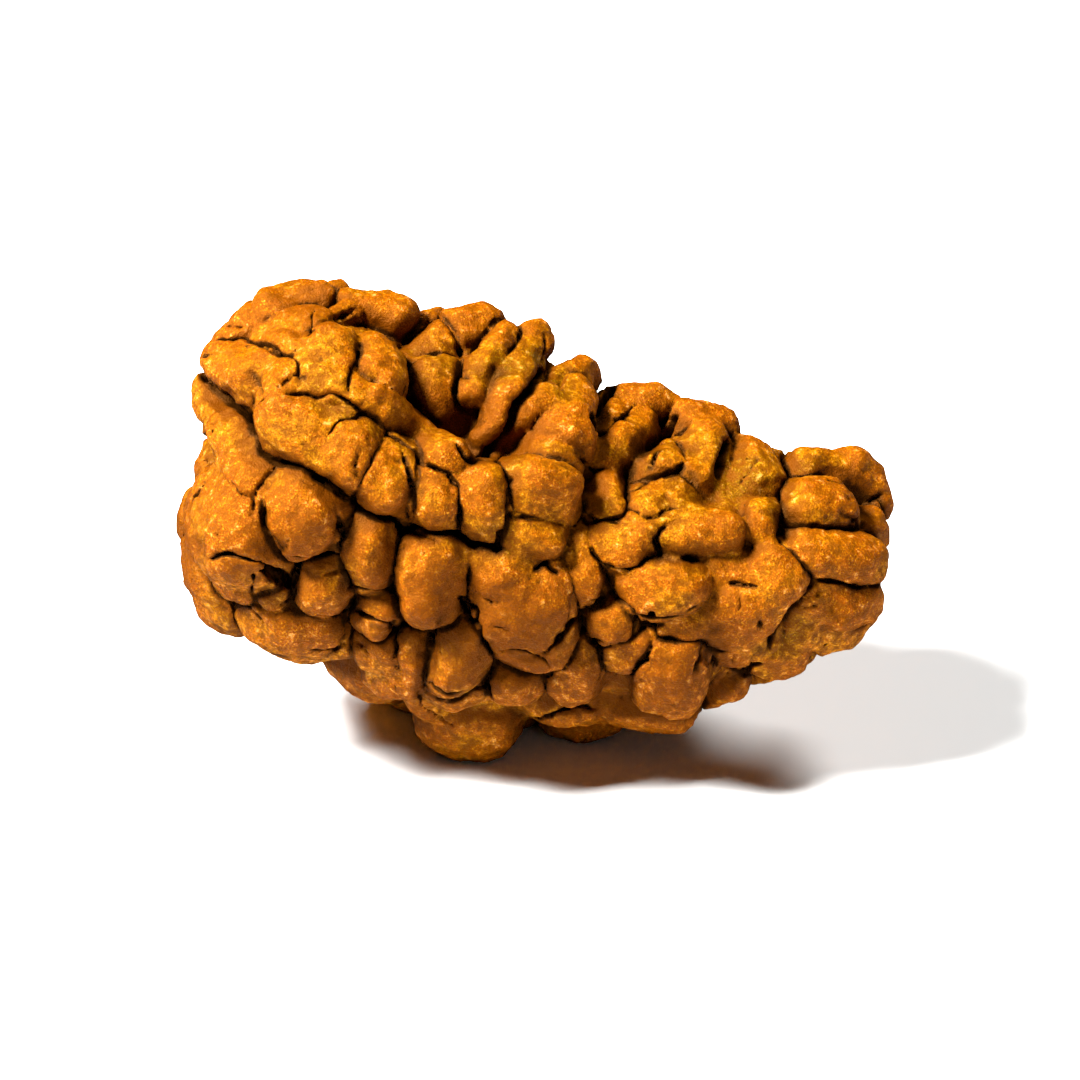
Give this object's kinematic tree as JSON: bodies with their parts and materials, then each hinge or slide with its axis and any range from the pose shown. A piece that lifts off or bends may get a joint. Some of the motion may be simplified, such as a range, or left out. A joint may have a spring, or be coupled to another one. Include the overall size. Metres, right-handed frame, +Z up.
{
  "type": "rudraksha seed",
  "caption": "Half-moon woody seed stone covered in rounded lobes, with one long furrow round its thick end, resting on a small flat spot.",
  "frame": {"origin": "middle of the flat rest spot, on the lobes at the bottom of the seed's convex edge", "axes": "+Z up, away from the surface that the seed rests on; +X along the seed towards its narrow end; -Y towards the side with the long furrow"},
  "size_m": [0.0285, 0.0135, 0.0192],
  "materials": {
    "seed_wood": "dry woody shell with a satin sheen of oil, dark in its crevices"
  },
  "bodies": {
    "root": {"rudraksha_seed": "seed_wood"}
  },
  "joints": []
}
